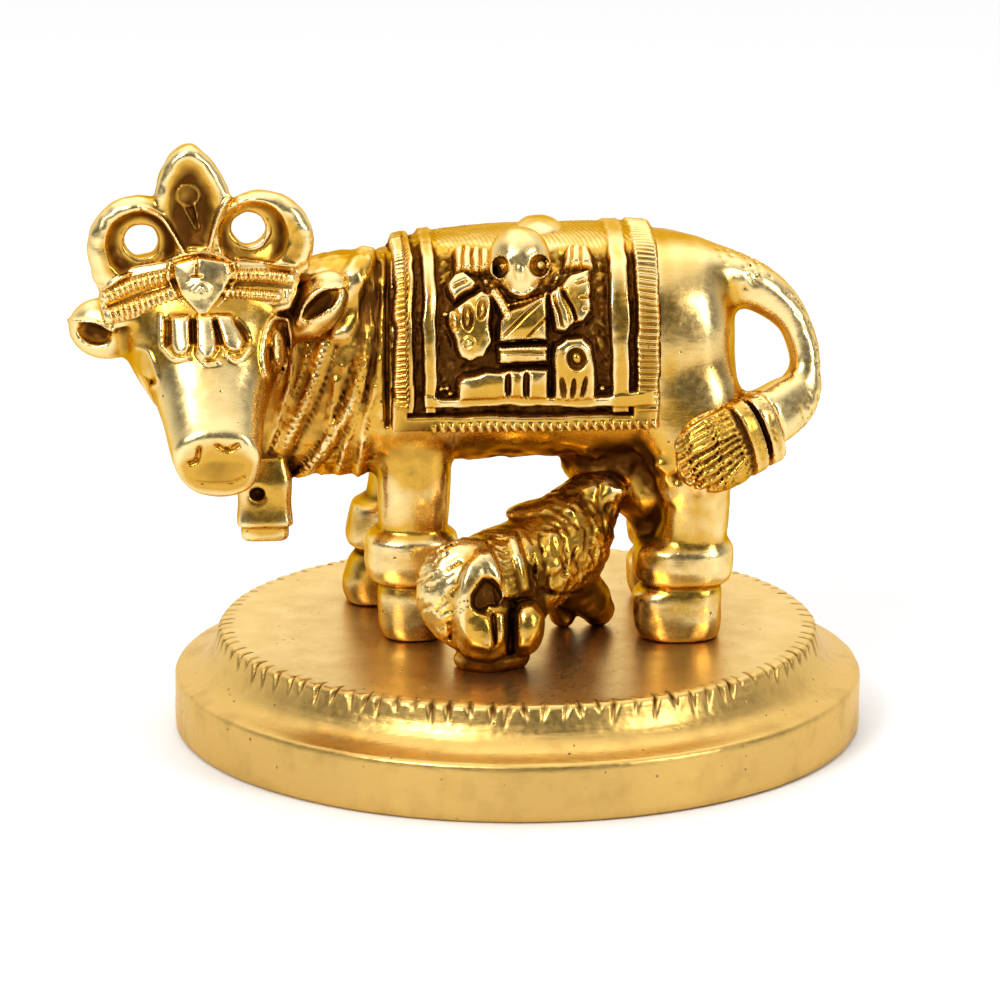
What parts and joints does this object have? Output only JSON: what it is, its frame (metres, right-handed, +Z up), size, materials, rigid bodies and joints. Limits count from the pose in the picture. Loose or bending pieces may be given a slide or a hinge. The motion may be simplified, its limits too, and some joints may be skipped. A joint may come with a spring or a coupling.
{
  "type": "cow and calf statue",
  "caption": "Cast cow with a turned head, pierced head ornament, carved saddle cloth and tail loop, suckling a calf, standing on a round stepped plinth.",
  "frame": {"origin": "centre of the plinth's flat underside", "axes": "+Z up, +X along the body from the head to the tail, -Y out of the side that the head and calf are turned to"},
  "size_m": [0.0868, 0.0758, 0.0666],
  "materials": {
    "cast_brass": "polished casting, dark in its recesses",
    "filed_brass": "satin, brushed along its length and turned round its rim"
  },
  "bodies": {
    "root": {"cow_and_calf": "cast_brass", "base": "filed_brass"}
  },
  "joints": []
}
